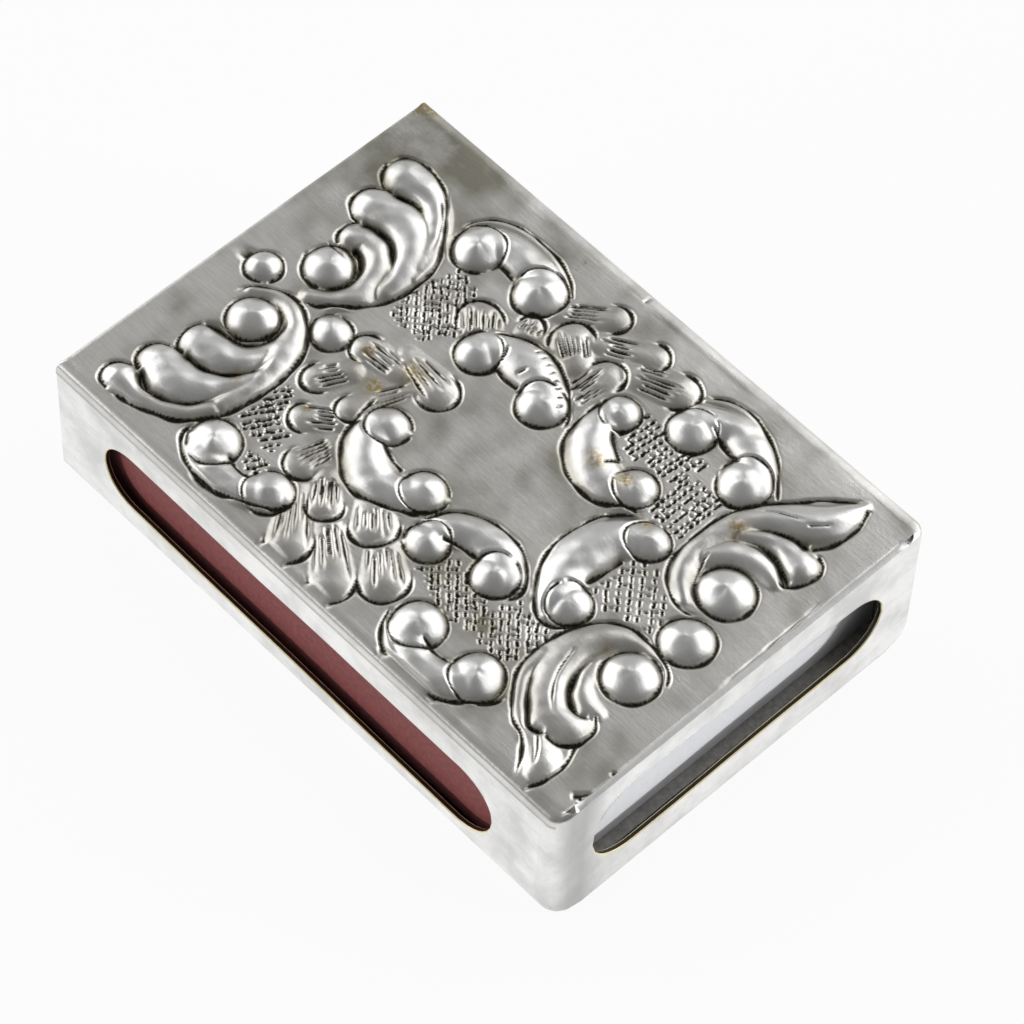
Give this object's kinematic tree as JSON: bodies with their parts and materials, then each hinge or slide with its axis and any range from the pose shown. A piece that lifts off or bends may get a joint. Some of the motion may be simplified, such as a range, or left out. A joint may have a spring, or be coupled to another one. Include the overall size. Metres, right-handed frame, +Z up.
{
  "type": "matchbox holder",
  "caption": "Five-sided metal sleeve with an embossed scroll top that holds a matchbox, with side windows over the striking strips and an end slot to push the tray out.",
  "frame": {"origin": "middle of the footprint, on the surface that the holder rests on", "axes": "+Z up out of the embossed top, +X along the length towards the closed end with the push slot, +Y across the width"},
  "size_m": [0.056, 0.039, 0.0153],
  "materials": {
    "case_sheet": "silver-plated brass sheet, satin with fine polishing lines",
    "end_sheet": "silver-plated brass sheet, satin",
    "embossed_sheet": "embossed silver-plated brass, polished on the bosses, worn to the brass on a few",
    "sleeve_card": "grey board with a printed paper face, unmarked",
    "striker": "matt red-brown striking coat, fine grit",
    "tray_card": "white paper-faced card",
    "match_wood": "plain aspen splint",
    "match_head": "matt brown match composition"
  },
  "bodies": {
    "holder": {"body_channel": "case_sheet", "end_plate": "end_sheet", "embossed_top": "embossed_sheet"},
    "matchbox": {"matchbox_sleeve": "sleeve_card", "striker_strip_front": "striker", "striker_strip_back": "striker"},
    "tray": {"matchbox_tray": "tray_card", "match_sticks_layer_1": "match_wood", "match_sticks_layer_2": "match_wood", "match_sticks_layer_3": "match_wood", "match_sticks_layer_4": "match_wood", "match_heads_layer_1": "match_head", "match_heads_layer_2": "match_head", "match_heads_layer_3": "match_head", "match_heads_layer_4": "match_head"}
  },
  "joints": [
    {"name": "matchbox_slide", "type": "slide", "parent": "holder", "child": "matchbox", "axis": [-1, 0, 0], "range_m": [0, 0.05]},
    {"name": "tray_slide", "type": "slide", "parent": "matchbox", "child": "tray", "axis": [-1, 0, 0], "range_m": [0, 0.044]}
  ]
}
